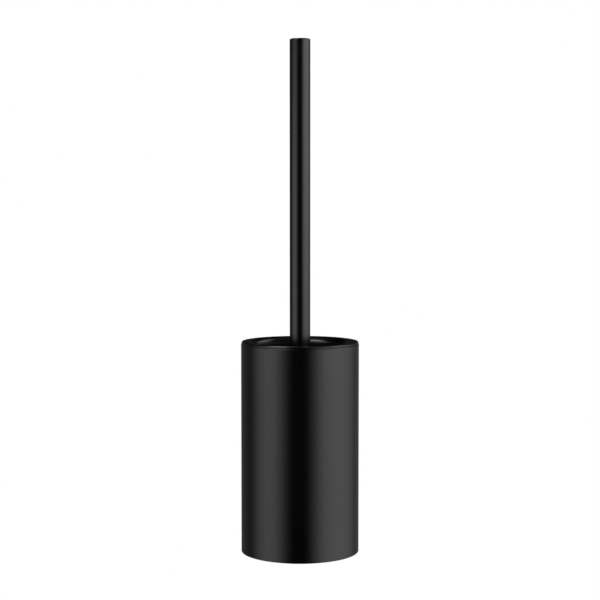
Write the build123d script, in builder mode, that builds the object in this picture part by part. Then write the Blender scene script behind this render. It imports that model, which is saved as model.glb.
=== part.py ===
from build123d import *
import math
import os

# Free-standing toilet brush set: a coated steel tube with a lift-out plastic liner, and a brush on a
# long tube handle that unscrews from its head.
#
# All sizes are in millimetres. The origin is the middle of the foot ring's underside, and +Z is up.

# Overall sizes
TOTAL_HEIGHT = 400.0
HOLDER_HEIGHT = 166.0
HOLDER_DIAMETER = 92.0
HANDLE_DIAMETER = 16.0

# Clearances
PRESS_GAP = 0.03  # radial, between pieces pressed, glued or moulded together
SCREW_GAP = 0.05  # radial, between the stud's crests and the handle's thread
SLIDE_GAP = 0.3  # radial, between the liner's locating skirt and the tube
FLOOR_GAP = 0.4  # between the liner and what is below it, and under the lowest bristle tips
HEAD_GAP = 1.0  # radial, between the bristle tips and the liner's bore at its foot

# Holder: outer tube, pressed base and rubber foot ring
TUBE_WALL = 1.2
TUBE_EDGE = 0.3
BASE_THICKNESS = 1.2
BASE_SKIRT = 9.0
BASE_BEND = 1.0
FOOT_HEIGHT = 3.0
FOOT_PROUD = 0.8
FOOT_WIDTH = 7.0
FOOT_INSET = 1.6
FOOT_EDGE = 0.5

# Liner: a moulded bucket that hangs by its flange on the tube's upper edge
LINER_WALL = 1.9
LINER_FLOOR = 2.0
LINER_DRAFT = 0.5  # degrees
LINER_CORNER = 5.0
FLANGE_THICKNESS = 1.9
FLANGE_INSET = 0.5
FLANGE_EDGE = 0.7
FLANGE_LOWER_EDGE = 0.15
RIM_FLAT = 3.1
MOUTH_RADIUS = 6.0
SKIRT_WALL = 1.6
SKIRT_DEPTH = 6.0
SKIRT_EDGE = 0.5

# Brush head: moulded core with tufts of bristle in blind holes
CORE_DIAMETER = 26.0
CORE_LIFT = 14.6  # from the tips of the lowest bristles up to the core
CORE_HEIGHT = 75.0
CORE_END_RADIUS = 9.0
NECK_HEIGHT = 3.0
SHOULDER_HEIGHT = 7.0
SHOULDER_RADIUS = 3.0
ROW_COUNT = 9
TUFTS_PER_ROW = 14
ROWS_START = 11.0  # first row's height above the core's lower end
ROWS_END = 14.0  # last row's depth below the core's upper end
TUFT_RADIUS = 1.4
TUFT_DEPTH = 3.0
CROWN_COUNT = 12
CROWN_TILTS = [18.0, 55.0]  # degrees below level
CENTRE_COUNT = 3
CENTRE_RADIUS = 3.2

# Screwed joint between the head and the handle
STUD_DIAMETER = 7.9  # over the crests of an M8 thread
STUD_HELD = 15.0
STUD_ENGAGED = 10.0
STUD_CHAMFER = 0.8
BORE_SPARE = 1.5
SEAL_THICKNESS = 1.5
SEAL_INSET = 0.2
SEAL_BORE_GAP = 0.35
INSERT_FLANGE = 1.5
INSERT_LENGTH = 14.0
HANDLE_WALL = 1.0
HANDLE_EDGE = 0.2
CAP_THICKNESS = 2.0
CAP_EDGE = 1.0
CAP_PLUG = 12.0
CAP_PLUG_WALL = 1.5

# Heights and radii that follow from the sizes above
tube_radius = HOLDER_DIAMETER / 2
tube_bore = tube_radius - TUBE_WALL
tube_top = HOLDER_HEIGHT - FLANGE_THICKNESS
base_radius = tube_bore - PRESS_GAP
base_top = FOOT_HEIGHT + BASE_THICKNESS
foot_radius = base_radius - FOOT_INSET
flange_radius = tube_radius - FLANGE_INSET
mouth_bore = flange_radius - RIM_FLAT - MOUTH_RADIUS
skirt_radius = tube_bore - SLIDE_GAP
liner_bottom = base_top + FLOOR_GAP
liner_floor = liner_bottom + LINER_FLOOR
liner_foot_bore = mouth_bore - (HOLDER_HEIGHT - liner_floor) * math.tan(math.radians(LINER_DRAFT))
core_radius = CORE_DIAMETER / 2
head_radius = liner_foot_bore - HEAD_GAP
tip_level = liner_floor + FLOOR_GAP
core_bottom = tip_level + CORE_LIFT
core_top = core_bottom + CORE_HEIGHT
handle_radius = HANDLE_DIAMETER / 2
handle_bore = handle_radius - HANDLE_WALL
stud_radius = STUD_DIAMETER / 2
seal_top = core_top + SEAL_THICKNESS
stud_top = seal_top + STUD_ENGAGED
handle_bottom = seal_top + INSERT_FLANGE
handle_top = TOTAL_HEIGHT - CAP_THICKNESS

FROM_END = (Align.CENTER, Align.CENTER, Align.MIN)


def write(piece, name):
    """Labels a finished piece and writes its STEP file."""
    piece.label = name
    export_step(piece, f"parts/{name}.step")


def tuft(length, tilt=0.0):
    """One tuft as a rod of its bristles packed solid, from its hole's end outwards and down by tilt."""
    with Locations(Location((0, 0, 0), (0, 90 + tilt, 0))):
        with Locations((0, 0, -TUFT_DEPTH)):
            Cylinder(TUFT_RADIUS, TUFT_DEPTH + length, align=FROM_END)


def tuft_hole(tilt=0.0):
    """The blind hole that holds one tuft's root, centred on the core's surface and so open above it."""
    length = 2 * (TUFT_DEPTH + PRESS_GAP)
    Cylinder(TUFT_RADIUS + PRESS_GAP, length, rotation=(0, 90 + tilt, 0), mode=Mode.SUBTRACT)


def row_height(row):
    """Height of a row of tufts, counted from 0 at the bottom."""
    span = CORE_HEIGHT - ROWS_START - ROWS_END
    return core_bottom + ROWS_START + span * row / (ROW_COUNT - 1)


def row_turn(row):
    """Start angle of a row, so that each row's tufts stand over the gaps of the row below."""
    return (row % 2) * 180 / TUFTS_PER_ROW


def crown_root(tilt):
    """Radius and height of the point on the core's rounded lower edge that faces down by tilt."""
    lean = math.radians(tilt)
    radius = core_radius - CORE_END_RADIUS + CORE_END_RADIUS * math.cos(lean)
    height = core_bottom + CORE_END_RADIUS - CORE_END_RADIUS * math.sin(lean)
    return radius, height


def crown_length(tilt):
    """Length of a crown tuft, up to the head's side or its lower end, whichever is nearer."""
    lean = math.radians(tilt)
    radius, height = crown_root(tilt)
    to_side = (head_radius - radius - TUFT_RADIUS * math.sin(lean)) / math.cos(lean)
    to_end = (height - tip_level - TUFT_RADIUS * math.cos(lean)) / math.sin(lean)
    return min(to_side, to_end)


os.makedirs("parts", exist_ok=True)

# Outer tube, open at both ends
with BuildPart() as holder_tube:
    with BuildSketch(Plane.XY.offset(FOOT_PROUD)):
        Circle(tube_radius)
        Circle(tube_bore, mode=Mode.SUBTRACT)
    extrude(amount=tube_top - FOOT_PROUD)
    fillet(holder_tube.edges().filter_by(GeomType.CIRCLE), TUBE_EDGE)
write(holder_tube.part, "holder_tube")

# Pressed dish that closes the tube's lower end, with its skirt turned up against the bore
with BuildPart() as base_plate:
    with BuildSketch(Plane.XZ):
        with BuildLine():
            FilletPolyline(
                (0, FOOT_HEIGHT),
                (base_radius, FOOT_HEIGHT),
                (base_radius, FOOT_HEIGHT + BASE_SKIRT),
                (base_radius - BASE_THICKNESS, FOOT_HEIGHT + BASE_SKIRT),
                (base_radius - BASE_THICKNESS, base_top),
                (0, base_top),
                radius=[0, BASE_BEND + BASE_THICKNESS, 0, 0, BASE_BEND, 0],
                close=True,
            )
        make_face()
    revolve(axis=Axis.Z)
write(base_plate.part, "base_plate")

# Rubber ring under the base, standing just below the tube's edge
with BuildPart() as foot_ring:
    with BuildSketch():
        Circle(foot_radius)
        Circle(foot_radius - FOOT_WIDTH, mode=Mode.SUBTRACT)
    extrude(amount=FOOT_HEIGHT)
    fillet(foot_ring.faces().sort_by(Axis.Z)[0].edges(), FOOT_EDGE)
write(foot_ring.part, "foot_ring")

# Lift-out liner: flange, locating skirt, rounded mouth and drafted bucket in one moulding
with BuildPart() as liner:
    with BuildSketch(Plane.XZ):
        with BuildLine():
            FilletPolyline(
                (0, liner_bottom),
                (liner_foot_bore + LINER_WALL, liner_bottom),
                (mouth_bore + LINER_WALL, tube_top),
                (skirt_radius - SKIRT_WALL, tube_top),
                (skirt_radius - SKIRT_WALL, tube_top - SKIRT_DEPTH),
                (skirt_radius, tube_top - SKIRT_DEPTH),
                (skirt_radius, tube_top),
                (flange_radius, tube_top),
                (flange_radius, HOLDER_HEIGHT),
                (mouth_bore, HOLDER_HEIGHT),
                (liner_foot_bore, liner_floor),
                (0, liner_floor),
                radius=[
                    0,
                    LINER_CORNER + LINER_WALL,
                    MOUTH_RADIUS - LINER_WALL,
                    0,
                    SKIRT_EDGE,
                    SKIRT_EDGE,
                    0,
                    FLANGE_LOWER_EDGE,
                    FLANGE_EDGE,
                    MOUTH_RADIUS,
                    LINER_CORNER,
                    0,
                ],
                close=True,
            )
        make_face()
    revolve(axis=Axis.Z)
write(liner.part, "liner")

# Moulded core: rounded lower end, shoulder down to the handle's diameter, stud bore, tuft holes
with BuildPart() as brush_core:
    with BuildSketch(Plane.XZ):
        with BuildLine():
            FilletPolyline(
                (0, core_bottom),
                (core_radius, core_bottom),
                (core_radius, core_top - NECK_HEIGHT - SHOULDER_HEIGHT),
                (handle_radius, core_top - NECK_HEIGHT),
                (handle_radius, core_top),
                (0, core_top),
                radius=[0, CORE_END_RADIUS, SHOULDER_RADIUS, SHOULDER_RADIUS, HANDLE_EDGE, 0],
                close=True,
            )
        make_face()
    revolve(axis=Axis.Z)
    with Locations(brush_core.faces().sort_by(Axis.Z)[-1]):
        Hole(stud_radius + PRESS_GAP, depth=STUD_HELD + PRESS_GAP)
    for row in range(ROW_COUNT):
        with Locations((0, 0, row_height(row))):
            with PolarLocations(core_radius, TUFTS_PER_ROW, start_angle=row_turn(row)):
                tuft_hole()
    for tilt in CROWN_TILTS:
        root_radius, root_height = crown_root(tilt)
        with Locations((0, 0, root_height)):
            with PolarLocations(root_radius, CROWN_COUNT):
                tuft_hole(tilt)
    with Locations((0, 0, core_bottom)):
        with PolarLocations(CENTRE_RADIUS, CENTRE_COUNT):
            tuft_hole(90)
write(brush_core.part, "brush_core")

# Rows of tufts that stand straight out of the core
for row in range(ROW_COUNT):
    with BuildPart() as bristle_row:
        with Locations((0, 0, row_height(row))):
            with PolarLocations(core_radius, TUFTS_PER_ROW, start_angle=row_turn(row)):
                tuft(head_radius - core_radius)
    write(bristle_row.part, f"bristle_row_{row + 1}")

# Tufts that fan down from the core's rounded end, and those that point straight down
with BuildPart() as bristle_crown:
    for tilt in CROWN_TILTS:
        root_radius, root_height = crown_root(tilt)
        with Locations((0, 0, root_height)):
            with PolarLocations(root_radius, CROWN_COUNT):
                tuft(crown_length(tilt), tilt)
    with Locations((0, 0, core_bottom)):
        with PolarLocations(CENTRE_RADIUS, CENTRE_COUNT):
            tuft(core_bottom - tip_level, 90)
write(bristle_crown.part, "bristle_crown")

# Threaded stud held in the core, its thread drawn as a plain cylinder over the crests
with BuildPart(Plane.XY.offset(core_top - STUD_HELD)) as head_stud:
    Cylinder(stud_radius, stud_top - core_top + STUD_HELD, align=FROM_END)
    chamfer(head_stud.edges().filter_by(GeomType.CIRCLE), STUD_CHAMFER)
write(head_stud.part, "head_stud")

# Rubber washer between the head and the handle
with BuildPart() as seal_ring:
    with BuildSketch(Plane.XY.offset(core_top)):
        Circle(handle_radius - SEAL_INSET)
        Circle(stud_radius + SEAL_BORE_GAP, mode=Mode.SUBTRACT)
    extrude(amount=SEAL_THICKNESS)
write(seal_ring.part, "seal_ring")

# Threaded bush pressed into the handle's lower end
with BuildPart(Plane.XY.offset(seal_top)) as handle_insert:
    Cylinder(handle_radius, INSERT_FLANGE, align=FROM_END)
    fillet(handle_insert.edges().filter_by(GeomType.CIRCLE), HANDLE_EDGE)
    Cylinder(handle_bore - PRESS_GAP, INSERT_FLANGE + INSERT_LENGTH, align=FROM_END)
    chamfer(handle_insert.edges().sort_by(Axis.Z)[-1], STUD_CHAMFER)
    Cylinder(stud_radius + SCREW_GAP, STUD_ENGAGED + BORE_SPARE, align=FROM_END, mode=Mode.SUBTRACT)
write(handle_insert.part, "handle_insert")

# Handle tube
with BuildPart() as handle_tube:
    with BuildSketch(Plane.XY.offset(handle_bottom)):
        Circle(handle_radius)
        Circle(handle_bore, mode=Mode.SUBTRACT)
    extrude(amount=handle_top - handle_bottom)
write(handle_tube.part, "handle_tube")

# Cap pressed into the handle's upper end, hollow below
with BuildPart(Plane.XY.offset(handle_top)) as handle_top_cap:
    Cylinder(handle_radius, CAP_THICKNESS, align=FROM_END)
    fillet(handle_top_cap.edges().sort_by(Axis.Z)[-1], CAP_EDGE)
    plug_radius = handle_bore - PRESS_GAP
    with Locations((0, 0, -CAP_PLUG)):
        Cylinder(plug_radius, CAP_PLUG, align=FROM_END)
        Cylinder(plug_radius - CAP_PLUG_WALL, CAP_PLUG, align=FROM_END, mode=Mode.SUBTRACT)
write(handle_top_cap.part, "handle_top_cap")
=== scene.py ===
"""Black toilet brush set in a plain pale studio: looks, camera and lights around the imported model.

Lengths are in metres. mm() turns a size on the drawing, in millimetres, into metres.
"""

import math

import bpy
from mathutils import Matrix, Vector


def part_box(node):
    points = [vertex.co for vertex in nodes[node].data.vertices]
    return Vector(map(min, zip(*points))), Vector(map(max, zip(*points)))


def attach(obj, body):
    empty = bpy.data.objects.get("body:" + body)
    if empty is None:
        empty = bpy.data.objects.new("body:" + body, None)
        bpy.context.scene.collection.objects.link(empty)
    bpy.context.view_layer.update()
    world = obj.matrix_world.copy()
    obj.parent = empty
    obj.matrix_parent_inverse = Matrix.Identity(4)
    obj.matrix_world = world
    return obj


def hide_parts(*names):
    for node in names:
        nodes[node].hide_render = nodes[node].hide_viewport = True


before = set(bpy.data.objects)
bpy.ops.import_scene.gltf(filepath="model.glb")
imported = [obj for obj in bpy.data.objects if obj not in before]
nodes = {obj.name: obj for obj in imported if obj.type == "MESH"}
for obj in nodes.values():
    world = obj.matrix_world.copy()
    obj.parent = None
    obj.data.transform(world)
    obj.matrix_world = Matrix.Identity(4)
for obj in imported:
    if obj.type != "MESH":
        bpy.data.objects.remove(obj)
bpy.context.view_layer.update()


def mm(size):
    """A size in millimetres, as metres."""
    return size / 1000


ROW_COUNT = 9
TUFTS_PER_ROW = 14
CROWN_COUNT = 12
CROWN_TILTS = [18.0, 55.0]
CENTRE_COUNT = 3
CENTRE_RADIUS = mm(3.2)
CORE_END_RADIUS = mm(9)
ROOT_DEPTH = mm(0.5)
TIP_WANDER = mm(0.8)
THREAD_PITCH = mm(1.25)
THREAD_DEPTH = mm(0.7)
THREAD_CHAMFER = mm(0.8)
DIM_TENT = 0.002


# ---------------------------------------------------------------- colours and nodes


def colour(code):
    """Linear RGBA of an sRGB hex code such as "#101010"."""
    parts = [int(code[i : i + 2], 16) / 255 for i in (1, 3, 5)]
    linear = [c / 12.92 if c <= 0.04045 else ((c + 0.055) / 1.055) ** 2.4 for c in parts]
    return (*linear, 1.0)


def socket_in(sockets, key):
    """The socket with this number or name. Of several with one name, the one in use."""
    if isinstance(key, int):
        return sockets[key]
    return next(socket for socket in sockets if socket.name == key and socket.enabled)


def feed(tree, socket, value):
    """Sets a socket, or links it where the value is another node's output, given as (node, output)."""
    if isinstance(value, tuple) and isinstance(value[0], bpy.types.Node):
        tree.links.new(socket_in(value[0].outputs, value[1]), socket)
    else:
        socket.default_value = value


def add_node(tree, kind, settings=None, inputs=None):
    """Adds a shader or geometry node. Settings are its attributes, and inputs its socket values or the
    outputs that feed them."""
    node = tree.nodes.new(kind)
    for name, value in (settings or {}).items():
        setattr(node, name, value)
    for key, value in (inputs or {}).items():
        feed(tree, socket_in(node.inputs, key), value)
    return node


def add_math(tree, operation, *values):
    """Adds a Math node and returns its output."""
    inputs = dict(enumerate(values))
    return (add_node(tree, "ShaderNodeMath", {"operation": operation}, inputs), "Value")


def add_vector_math(tree, operation, first, second=None):
    """Adds a Vector Math node and returns its output."""
    inputs = {0: first}
    if second is not None:
        inputs["Scale" if operation == "SCALE" else 1] = second
    node = add_node(tree, "ShaderNodeVectorMath", {"operation": operation}, inputs)
    return (node, "Value" if operation in ("LENGTH", "DOT_PRODUCT") else "Vector")


def add_xyz(tree, x=0.0, y=0.0, z=0.0):
    """Adds a Combine XYZ node and returns its output."""
    return (add_node(tree, "ShaderNodeCombineXYZ", inputs={"X": x, "Y": y, "Z": z}), "Vector")


def empty_tree(owner):
    """The node tree of a material or a world, emptied."""
    owner.use_nodes = True
    owner.node_tree.nodes.clear()
    return owner.node_tree


def add_object(name, data):
    """Adds an object with this mesh or camera to the scene."""
    thing = bpy.data.objects.new(name, data)
    bpy.context.scene.collection.objects.link(thing)
    return thing


def new_material(name, **surface):
    """A material with one Principled shader. Returns it, its tree, and the shader."""
    material = bpy.data.materials.new(name)
    tree = empty_tree(material)
    shader = add_node(tree, "ShaderNodeBsdfPrincipled", inputs=surface)
    add_node(tree, "ShaderNodeOutputMaterial", inputs={"Surface": (shader, "BSDF")})
    return material, tree, shader


def per_metre(size_mm):
    """Noise scale for features about this many millimetres across."""
    return 1 / mm(size_mm)


def add_bump(tree, shader, height, strength, depth_mm):
    """Feeds the shader's normal from a height field, a (node, output)."""
    bump = add_node(
        tree,
        "ShaderNodeBump",
        inputs={"Strength": strength, "Distance": mm(depth_mm), "Height": height},
    )
    feed(tree, shader.inputs["Normal"], (bump, "Normal"))


def add_noise(tree, size_mm, detail=2.0, roughness=0.5):
    """Noise in Object coordinates, with features of about this size."""
    place = add_node(tree, "ShaderNodeTexCoord")
    noise = add_node(
        tree,
        "ShaderNodeTexNoise",
        inputs={
            "Vector": (place, "Object"),
            "Scale": per_metre(size_mm),
            "Detail": detail,
            "Roughness": roughness,
        },
    )
    return (noise, "Fac")


def add_range(tree, value, low, high, new_low, new_high, smooth=False):
    """Maps a (node, output) from one range to another."""
    node = add_node(
        tree,
        "ShaderNodeMapRange",
        {"interpolation_type": "SMOOTHSTEP" if smooth else "LINEAR"},
        {"Value": value, "From Min": low, "From Max": high, "To Min": new_low, "To Max": new_high},
    )
    return (node, "Result")


# ---------------------------------------------------------------- materials


def powder_coat():
    """Black powder coat, sprayed and baked: a semi-gloss skin whose faint orange peel softens the edges
    of what it reflects."""
    material, tree, shader = new_material(
        "black_powder_coat",
        **{"Base Color": colour("#060606"), "IOR": 1.5},
    )
    gloss = add_range(tree, add_noise(tree, 9.0), 0.3, 0.7, 0.215, 0.24)
    feed(tree, shader.inputs["Roughness"], gloss)
    add_bump(tree, shader, add_noise(tree, 1.6, 1.0, 0.4), 0.05, 0.02)
    return material


def moulded_plastic():
    """Black polypropylene. The mouth is polished, the wall inside it is etched and stays dark, and the
    flange's outer corner, rubbed by hands and cloths, catches the lamps as a thin bright line."""
    material, tree, shader = new_material(
        "black_moulded_polypropylene",
        **{"Base Color": colour("#070708"), "IOR": 1.49},
    )
    place = add_node(tree, "ShaderNodeTexCoord")
    level = add_vector_math(tree, "MULTIPLY", (place, "Object"), (1.0, 1.0, 0.0))
    outward = add_vector_math(tree, "NORMALIZE", level)
    facing = add_vector_math(tree, "DOT_PRODUCT", outward, (place, "Normal"))
    etched = add_range(tree, facing, -0.98, -0.87, 1.0, 0.0)
    past_flat = add_range(tree, facing, 0.1, 0.3, 0.0, 1.0)
    before_side = add_range(tree, facing, 0.9, 0.99, 1.0, 0.0)
    rubbed = add_math(tree, "MULTIPLY", past_flat, before_side)
    plain_shine = add_range(tree, etched, 0.0, 1.0, 0.4, 0.08)
    rubbed_shine = add_math(tree, "MULTIPLY", rubbed, 0.6)
    shine = add_math(tree, "ADD", plain_shine, rubbed_shine)
    feed(tree, shader.inputs["Specular IOR Level"], shine)
    polish = add_range(tree, add_noise(tree, 6.0), 0.3, 0.7, 0.18, 0.24)
    etching = add_math(tree, "MULTIPLY", etched, 0.3)
    feed(tree, shader.inputs["Roughness"], add_math(tree, "ADD", polish, etching))
    add_bump(tree, shader, add_noise(tree, 0.5), 0.04, 0.01)
    return material


def core_plastic():
    """Black polypropylene from a spark-eroded mould: satin, so the core stands back from its bristles."""
    material, tree, shader = new_material(
        "black_satin_polypropylene",
        **{"Base Color": colour("#0b0b0c"), "Roughness": 0.42, "IOR": 1.49},
    )
    add_bump(tree, shader, add_noise(tree, 0.35), 0.25, 0.03)
    return material


def filament_plastic():
    """Black drawn filament: each bristle carries its own thin line of light."""
    surface = {"Base Color": colour("#0c0c0d"), "Roughness": 0.34, "IOR": 1.49}
    return new_material("black_bristle_filament", **surface)[0]


def zinc_plate():
    """Bright zinc on turned steel: pale against the black parts, with fine turning marks round it."""
    material, tree, shader = new_material(
        "zinc_plated_steel",
        **{"Base Color": colour("#c9ccce"), "Metallic": 1.0},
    )
    place = add_node(tree, "ShaderNodeTexCoord")
    stretch = add_node(
        tree,
        "ShaderNodeMapping",
        inputs={"Vector": (place, "Object"), "Scale": (0.05, 0.05, 1.0)},
    )
    marks = add_node(
        tree,
        "ShaderNodeTexNoise",
        inputs={"Vector": (stretch, "Vector"), "Scale": per_metre(0.15), "Detail": 2.0},
    )
    gloss = add_range(tree, (marks, "Fac"), 0.3, 0.7, 0.2, 0.38)
    feed(tree, shader.inputs["Roughness"], gloss)
    add_bump(tree, shader, (marks, "Fac"), 0.15, 0.01)
    return material


def soft_rubber(name, code, roughness):
    """Black nitrile rubber: matt and slightly grey, with a powdery bloom that breaks up its sheen."""
    material, tree, shader = new_material(name, **{"Base Color": colour(code), "IOR": 1.52})
    bloom = add_range(tree, add_noise(tree, 2.5, 3.0), 0.35, 0.7, roughness, roughness + 0.2)
    feed(tree, shader.inputs["Roughness"], bloom)
    add_bump(tree, shader, add_noise(tree, 0.3), 0.2, 0.02)
    return material


coat = powder_coat()
plastic = moulded_plastic()
satin = core_plastic()
filament = filament_plastic()
zinc = zinc_plate()
seal_rubber = soft_rubber("black_seal_rubber", "#0e0e0e", 0.5)
foot_rubber = soft_rubber("black_foot_rubber", "#121212", 0.55)

finishes = {
    "holder_tube": coat,
    "base_plate": coat,
    "handle_tube": coat,
    "handle_top_cap": coat,
    "liner": plastic,
    "brush_core": satin,
    "head_stud": zinc,
    "handle_insert": zinc,
    "seal_ring": seal_rubber,
    "foot_ring": foot_rubber,
}
for name, material in finishes.items():
    nodes[name].data.materials.clear()
    nodes[name].data.materials.append(material)


# ---------------------------------------------------------------- geometry node pieces


def new_group(name, sockets):
    """A geometry node tree with a Geometry input and output and the named inputs, each given as
    name: socket type. Returns the tree and its input and output nodes."""
    tree = bpy.data.node_groups.new(name, "GeometryNodeTree")
    tree.interface.new_socket("Geometry", in_out="INPUT", socket_type="NodeSocketGeometry")
    tree.interface.new_socket("Geometry", in_out="OUTPUT", socket_type="NodeSocketGeometry")
    for label, kind in sockets.items():
        tree.interface.new_socket(label, in_out="INPUT", socket_type=kind)
    return tree, tree.nodes.new("NodeGroupInput"), tree.nodes.new("NodeGroupOutput")


def end_group(tree, given, result, geometry):
    """Makes any copies real, gives the mesh its material and feeds the tree's output."""
    real = add_node(tree, "GeometryNodeRealizeInstances", inputs={"Geometry": geometry})
    dressed = add_node(
        tree,
        "GeometryNodeSetMaterial",
        inputs={"Geometry": (real, "Geometry"), "Material": (given, "Material")},
    )
    feed(tree, result.inputs["Geometry"], (dressed, "Geometry"))


def bake(name, start_mesh, tree, values):
    """Runs a geometry node tree on a mesh and returns the result as a plain mesh object."""
    worker = add_object(name + "_worker", start_mesh)
    modifier = worker.modifiers.new("build", "NODES")
    modifier.node_group = tree
    for item in tree.interface.items_tree:
        if item.item_type == "SOCKET" and item.in_out == "INPUT" and item.name in values:
            modifier[item.identifier] = values[item.name]
    depsgraph = bpy.context.evaluated_depsgraph_get()
    mesh = bpy.data.meshes.new_from_object(worker.evaluated_get(depsgraph))
    worker.modifiers.clear()
    bpy.data.objects.remove(worker)
    mesh.name = name
    if mesh.materials[0] is None:
        mesh.materials.pop(index=0)
    for attribute in ("way", "reach", "tip"):
        if attribute in mesh.attributes:
            mesh.attributes.remove(mesh.attributes[attribute])
    return add_object(name, mesh)


def bristle_group():
    """Tufts of filaments: every root point becomes a bundle that fans out and is trimmed to the head's
    side and lower end. The roots carry the tuft's direction and length."""
    tree, given, result = new_group(
        "tufts_of_filaments",
        {
            "Filaments per Tuft": "NodeSocketInt",
            "Root Radius": "NodeSocketFloat",
            "Tip Radius": "NodeSocketFloat",
            "Filament Radius": "NodeSocketFloat",
            "Bend": "NodeSocketFloat",
            "Unevenness": "NodeSocketFloat",
            "Trim Radius": "NodeSocketFloat",
            "Trim Level": "NodeSocketFloat",
            "Seed": "NodeSocketInt",
            "Material": "NodeSocketMaterial",
        },
    )

    def chance(offset, low, high):
        """A random number for each filament."""
        seed = add_math(tree, "ADD", (given, "Seed"), offset)
        inputs = {"Min": low, "Max": high, "Seed": seed}
        return (add_node(tree, "FunctionNodeRandomValue", {"data_type": "FLOAT"}, inputs), "Value")

    def named(label, kind):
        """A value kept on each point."""
        node = add_node(tree, "GeometryNodeInputNamedAttribute", {"data_type": kind}, {"Name": label})
        return (node, "Attribute")

    copies = add_node(
        tree,
        "GeometryNodeDuplicateElements",
        {"domain": "POINT"},
        inputs={"Geometry": (given, "Geometry"), "Amount": (given, "Filaments per Tuft")},
    )
    here = (add_node(tree, "GeometryNodeInputPosition"), "Position")
    way = named("way", "FLOAT_VECTOR")
    facing = add_node(tree, "FunctionNodeAlignRotationToVector", {"axis": "Z"}, inputs={"Vector": way})

    spread = add_math(tree, "SQRT", chance(1, 0.0, 1.0))
    angle = chance(2, 0.0, math.tau)
    flat_x = add_math(tree, "MULTIPLY", spread, add_math(tree, "COSINE", angle))
    flat_y = add_math(tree, "MULTIPLY", spread, add_math(tree, "SINE", angle))
    turned_disc = add_node(
        tree,
        "FunctionNodeRotateVector",
        inputs={"Vector": add_xyz(tree, flat_x, flat_y), "Rotation": (facing, "Rotation")},
    )
    across = (turned_disc, "Vector")

    root_offset = add_vector_math(tree, "SCALE", across, (given, "Root Radius"))
    root = add_vector_math(tree, "ADD", here, root_offset)
    wander = add_math(tree, "ADD", (given, "Tip Radius"), chance(3, -TIP_WANDER, TIP_WANDER))
    along = add_vector_math(tree, "SCALE", way, named("reach", "FLOAT"))
    middle = add_vector_math(tree, "ADD", here, along)
    free_tip = add_vector_math(tree, "ADD", middle, add_vector_math(tree, "SCALE", across, wander))
    parts = add_node(tree, "ShaderNodeSeparateXYZ", inputs={"Vector": free_tip})
    radius = add_vector_math(tree, "LENGTH", add_xyz(tree, (parts, "X"), (parts, "Y")))
    short = chance(4, 0.0, (given, "Unevenness"))
    side = add_math(tree, "SUBTRACT", (given, "Trim Radius"), short)
    trim = add_math(tree, "MINIMUM", add_math(tree, "DIVIDE", side, radius), 1.0)
    height = add_math(tree, "MAXIMUM", (parts, "Z"), add_math(tree, "ADD", (given, "Trim Level"), short))
    trim_x = add_math(tree, "MULTIPLY", (parts, "X"), trim)
    trim_y = add_math(tree, "MULTIPLY", (parts, "Y"), trim)
    tip = add_xyz(tree, trim_x, trim_y, height)
    kept = add_node(
        tree,
        "GeometryNodeStoreNamedAttribute",
        {"data_type": "FLOAT_VECTOR", "domain": "POINT"},
        {"Geometry": (copies, "Geometry"), "Name": "tip", "Value": tip},
    )
    rooted = add_node(
        tree,
        "GeometryNodeSetPosition",
        inputs={"Geometry": (kept, "Geometry"), "Position": root},
    )
    run = add_vector_math(tree, "SUBTRACT", named("tip", "FLOAT_VECTOR"), here)
    aim = add_node(tree, "FunctionNodeAlignRotationToVector", {"axis": "Z"}, inputs={"Vector": run})
    roll = add_node(
        tree,
        "FunctionNodeAxisAngleToRotation",
        inputs={"Axis": (0, 0, 1), "Angle": chance(5, 0.0, math.tau)},
    )
    turned = add_node(
        tree,
        "FunctionNodeRotateRotation",
        {"rotation_space": "LOCAL"},
        inputs={"Rotation": (aim, "Rotation"), "Rotate By": (roll, "Rotation")},
    )
    stretch = add_xyz(tree, 1.0, 1.0, add_vector_math(tree, "LENGTH", run))
    belly = add_xyz(tree, (given, "Bend"), 0.0, 0.55)
    line = add_node(
        tree,
        "GeometryNodeCurveQuadraticBezier",
        inputs={"Resolution": 4, "Start": (0, 0, 0), "Middle": belly, "End": (0, 0, 1)},
    )
    outline = add_node(
        tree,
        "GeometryNodeCurvePrimitiveCircle",
        inputs={"Resolution": 3, "Radius": (given, "Filament Radius")},
    )
    strand = add_node(
        tree,
        "GeometryNodeCurveToMesh",
        inputs={"Curve": (line, "Curve"), "Profile Curve": (outline, "Curve"), "Fill Caps": True},
    )
    placed = add_node(
        tree,
        "GeometryNodeInstanceOnPoints",
        inputs={
            "Points": (rooted, "Geometry"),
            "Instance": (strand, "Mesh"),
            "Rotation": (turned, "Rotation"),
            "Scale": stretch,
        },
    )
    end_group(tree, given, result, (placed, "Instances"))
    return tree


def root_mesh(name, roots):
    """A mesh of loose points, one for each tuft, given as (position, direction, length)."""
    mesh = bpy.data.meshes.new(name)
    mesh.from_pydata([place for place, way, reach in roots], [], [])
    mesh.attributes.new("way", "FLOAT_VECTOR", "POINT")
    mesh.attributes.new("reach", "FLOAT", "POINT")
    for index, (place, way, reach) in enumerate(roots):
        mesh.attributes["way"].data[index].vector = way
        mesh.attributes["reach"].data[index].value = reach
    return mesh


core_low, core_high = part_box("brush_core")
core_radius = core_high[0]
head_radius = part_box("bristle_row_1")[1][0]
tip_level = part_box("bristle_crown")[0][2]


def row_roots():
    """Roots of the tufts that stand straight out of the core, each row turned over the gaps below it."""
    roots = []
    for row in range(ROW_COUNT):
        low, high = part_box(f"bristle_row_{row + 1}")
        height = (low[2] + high[2]) / 2
        for tuft in range(TUFTS_PER_ROW):
            turn = math.tau * (tuft + row % 2 / 2) / TUFTS_PER_ROW
            way = Vector((math.cos(turn), math.sin(turn), 0))
            place = way * (core_radius - ROOT_DEPTH) + Vector((0, 0, height))
            roots.append((place, way, head_radius - core_radius + ROOT_DEPTH))
    return roots


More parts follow.
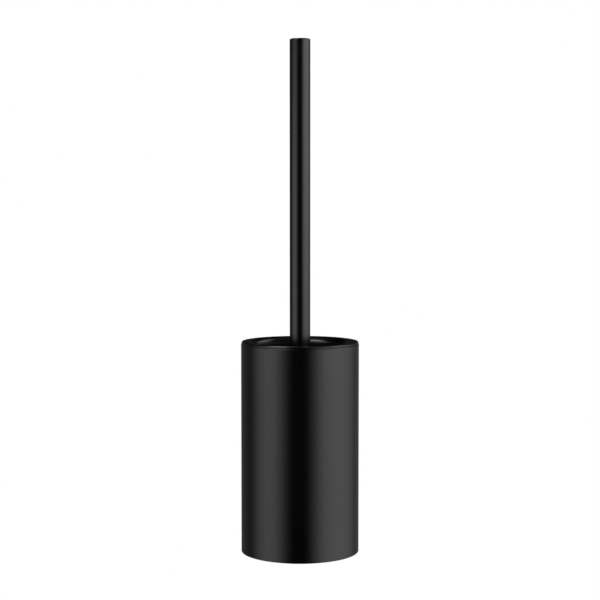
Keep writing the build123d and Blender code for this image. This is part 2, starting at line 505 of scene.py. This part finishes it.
def crown_roots():
    """Roots of the tufts that fan down from the core's rounded end, and of those that point down."""
    side_radius = core_radius - CORE_END_RADIUS
    round_level = core_low[2] + CORE_END_RADIUS
    roots = []
    for tilt in CROWN_TILTS:
        lean = math.radians(tilt)
        for tuft in range(CROWN_COUNT):
            turn = math.tau * tuft / CROWN_COUNT
            out = Vector((math.cos(turn), math.sin(turn), 0))
            way = out * math.cos(lean) - Vector((0, 0, math.sin(lean)))
            middle = out * side_radius + Vector((0, 0, round_level))
            place = middle + way * (CORE_END_RADIUS - ROOT_DEPTH)
            to_side = (head_radius - side_radius) / math.cos(lean)
            to_end = (round_level - tip_level) / math.sin(lean)
            roots.append((place, way, min(to_side, to_end) - CORE_END_RADIUS + ROOT_DEPTH))
    root_level = core_low[2] + ROOT_DEPTH
    for tuft in range(CENTRE_COUNT):
        turn = math.tau * tuft / CENTRE_COUNT
        place = Vector((CENTRE_RADIUS * math.cos(turn), CENTRE_RADIUS * math.sin(turn), root_level))
        roots.append((place, Vector((0, 0, -1)), root_level - tip_level))
    return roots


def thread_group():
    """A threaded rod: a fine cylinder whose surface is pushed in along a helix, and cut back to a cone
    at each end."""
    tree, given, result = new_group(
        "threaded_rod",
        {
            "Crest Radius": "NodeSocketFloat",
            "Depth": "NodeSocketFloat",
            "Pitch": "NodeSocketFloat",
            "Length": "NodeSocketFloat",
            "Bottom": "NodeSocketFloat",
            "Chamfer": "NodeSocketFloat",
            "Material": "NodeSocketMaterial",
        },
    )
    blank = add_node(
        tree,
        "GeometryNodeMeshCylinder",
        inputs={"Vertices": 48, "Side Segments": 180, "Radius": 1.0, "Depth": (given, "Length")},
    )
    here = add_node(tree, "GeometryNodeInputPosition")
    parts = add_node(tree, "ShaderNodeSeparateXYZ", inputs={"Vector": (here, "Position")})
    half = add_math(tree, "MULTIPLY", (given, "Length"), 0.5)
    rise = add_math(tree, "ADD", (parts, "Z"), half)
    turn = add_math(tree, "DIVIDE", add_math(tree, "ARCTAN2", (parts, "Y"), (parts, "X")), math.tau)
    pitches = add_math(tree, "DIVIDE", rise, (given, "Pitch"))
    saw = add_math(tree, "FRACT", add_math(tree, "SUBTRACT", pitches, turn))
    swing = add_math(tree, "SUBTRACT", add_math(tree, "MULTIPLY", saw, 2.0), 1.0)
    wave = add_math(tree, "ABSOLUTE", swing)
    groove = add_range(tree, wave, 0.1, 0.85, 1.0, 0.0)
    cut = add_math(tree, "MULTIPLY", groove, (given, "Depth"))
    threaded = add_math(tree, "SUBTRACT", (given, "Crest Radius"), cut)
    to_end = add_math(tree, "MINIMUM", rise, add_math(tree, "SUBTRACT", (given, "Length"), rise))
    cone = add_math(tree, "SUBTRACT", (given, "Crest Radius"), (given, "Chamfer"))
    radius = add_math(tree, "MINIMUM", threaded, add_math(tree, "ADD", cone, to_end))
    place_x = add_math(tree, "MULTIPLY", (parts, "X"), radius)
    place_y = add_math(tree, "MULTIPLY", (parts, "Y"), radius)
    place_z = add_math(tree, "ADD", rise, (given, "Bottom"))
    shaped = add_node(
        tree,
        "GeometryNodeSetPosition",
        inputs={"Geometry": (blank, "Mesh"), "Position": add_xyz(tree, place_x, place_y, place_z)},
    )
    end_group(tree, given, result, (shaped, "Geometry"))
    return tree


stud_low, stud_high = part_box("head_stud")
threads = {
    "Crest Radius": stud_high[0],
    "Depth": THREAD_DEPTH,
    "Pitch": THREAD_PITCH,
    "Length": stud_high[2] - stud_low[2],
    "Bottom": stud_low[2],
    "Chamfer": THREAD_CHAMFER,
    "Material": zinc,
}
stud = bake("threaded_stud", bpy.data.meshes.new("stud_blank"), thread_group(), threads)
stud.data.polygons.foreach_set("use_smooth", [len(face.vertices) == 4 for face in stud.data.polygons])
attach(stud, "brush_head")
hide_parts("head_stud")

tufts = bristle_group()
trimmed = {
    "Filaments per Tuft": 26,
    "Root Radius": mm(1.3),
    "Tip Radius": mm(4.4),
    "Filament Radius": mm(0.24),
    "Bend": mm(0.8),
    "Unevenness": mm(0.6),
    "Trim Radius": head_radius,
    "Trim Level": tip_level,
    "Material": filament,
}
rows = bake("bristle_rows", root_mesh("row_roots", row_roots()), tufts, {**trimmed, "Seed": 11})
splayed = {**trimmed, "Filaments per Tuft": 38, "Tip Radius": mm(7.6), "Bend": mm(1.2), "Seed": 47}
crown = bake("bristle_fan", root_mesh("crown_roots", crown_roots()), tufts, splayed)
for piece in (rows, crown):
    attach(piece, "brush_head")
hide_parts(*[f"bristle_row_{row + 1}" for row in range(ROW_COUNT)])
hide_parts("bristle_crown")


# ---------------------------------------------------------------- studio


def studio_floor():
    """Plain white floor that neither shades the object nor shows in its gloss. It is clear from below,
    and one triangle, so that no seam crosses it."""
    material = bpy.data.materials.new("studio_white")
    tree = empty_tree(material)
    glow = add_node(tree, "ShaderNodeEmission", inputs={"Color": colour("#ffffff"), "Strength": 1.0})
    clear = add_node(tree, "ShaderNodeBsdfTransparent")
    side = add_node(tree, "ShaderNodeNewGeometry")
    mix = add_node(
        tree,
        "ShaderNodeMixShader",
        inputs={0: (side, "Backfacing"), 1: (glow, "Emission"), 2: (clear, "BSDF")},
    )
    add_node(tree, "ShaderNodeOutputMaterial", inputs={"Surface": (mix, "Shader")})
    corners = [math.radians(turn) for turn in (-90, 30, 150)]
    reach = 12.0
    mesh = bpy.data.meshes.new("studio_floor")
    mesh.from_pydata([(reach * math.cos(a), reach * math.sin(a), 0) for a in corners], [], [(0, 1, 2)])
    mesh.materials.append(material)
    floor = add_object("studio_floor", mesh)
    floor.location.z = -mm(0.2)
    floor.visible_glossy = False
    floor.visible_diffuse = False


def panel(tree, azimuth, height, left, right, low, high, radiance):
    """A lit panel of the tent round the object. Left, right, low and high are pairs of angles in degrees,
    between which each of its edges fades from dark to full."""
    rise = add_range(tree, azimuth, *[math.radians(a) for a in left], 0, 1, smooth=True)
    fall = add_range(tree, azimuth, *[math.radians(a) for a in right], 1, 0, smooth=True)
    up = add_range(tree, height, *[math.radians(a) for a in low], 0, 1, smooth=True)
    down = add_range(tree, height, *[math.radians(a) for a in high], 1, 0, smooth=True)
    glow = add_math(tree, "MULTIPLY", rise, fall)
    glow = add_math(tree, "MULTIPLY", glow, add_math(tree, "MULTIPLY", up, down))
    return add_math(tree, "MULTIPLY", glow, radiance)


def studio_world():
    """White behind the object as the camera sees it. What lights the object is a dark tent with soft
    panels, whose azimuth is counted from the front, right positive."""
    world = bpy.data.worlds.new("studio_world")
    bpy.context.scene.world = world
    tree = empty_tree(world)
    place = add_node(tree, "ShaderNodeTexCoord")
    way = add_node(tree, "ShaderNodeSeparateXYZ", inputs={"Vector": (place, "Generated")})
    front = add_math(tree, "MULTIPLY", (way, "Y"), -1.0)
    azimuth = add_math(tree, "ARCTAN2", (way, "X"), front)
    height = add_math(tree, "ARCSINE", (way, "Z"))
    left_sides = ((-118, -62), (-58, -14))
    right_sides = ((10, 58), (72, 150))
    all_round = ((-181, -180), (180, 181))
    panels = [
        # a broad lamp on the left that reaches far down, and a brighter band in it near level
        panel(tree, azimuth, height, *left_sides, (-82, -48), (0, 12), 1.25),
        panel(tree, azimuth, height, *left_sides, (-7, -1), (0, 6), 0.6),
        # a broad lamp on the right that reaches far down, and a brighter band in it above level
        panel(tree, azimuth, height, *right_sides, (-82, -48), (14, 26), 1.55),
        panel(tree, azimuth, height, *right_sides, (-6, 1), (12, 20), 0.8),
        # faint lamps behind the object, on the right and on the left
        panel(tree, azimuth, height, (130, 148), (162, 174), (-60, -30), (0, 8), 0.16),
        panel(tree, azimuth, height, (-174, -162), (-122, -104), (-60, -30), (0, 8), 0.1),
        # a bright lamp high on the front left, and a weaker one high on the right
        panel(tree, azimuth, height, (-80, -62), (-40, -22), (16, 30), (55, 75), 5.2),
        panel(tree, azimuth, height, (92, 104), (128, 142), (20, 30), (48, 60), 1.4),
        # a faint ring of light all round above level, and a faint sky
        panel(tree, azimuth, height, *all_round, (3, 8), (20, 30), 0.03),
        panel(tree, azimuth, height, *all_round, (40, 70), (90, 91), 0.12),
    ]
    light = DIM_TENT
    for glow in panels:
        light = add_math(tree, "ADD", light, glow)
    path = add_node(tree, "ShaderNodeLightPath")
    white = add_node(tree, "ShaderNodeBackground", inputs={"Color": colour("#ffffff"), "Strength": 1.0})
    tent = add_node(
        tree,
        "ShaderNodeBackground",
        inputs={"Color": colour("#ffffff"), "Strength": light},
    )
    mix = add_node(
        tree,
        "ShaderNodeMixShader",
        inputs={0: (path, "Is Camera Ray"), 1: (tent, "Background"), 2: (white, "Background")},
    )
    add_node(tree, "ShaderNodeOutputWorld", inputs={"Surface": (mix, "Shader")})


def studio_camera():
    """Camera level with the middle of the handle above the rim, looking slightly down."""
    distance = 1.2
    eye_level = 0.28
    tilt = 3.68
    data = bpy.data.cameras.new("studio_camera")
    data.sensor_width = 36.0
    data.lens = 92.6
    data.shift_y = -0.01
    camera = add_object("studio_camera", data)
    camera.location = (0.0, -distance, eye_level)
    camera.rotation_euler = (math.radians(90 - tilt), 0, 0)
    bpy.context.scene.camera = camera


studio_floor()
studio_world()
studio_camera()
bpy.context.scene.view_settings.view_transform = "Standard"
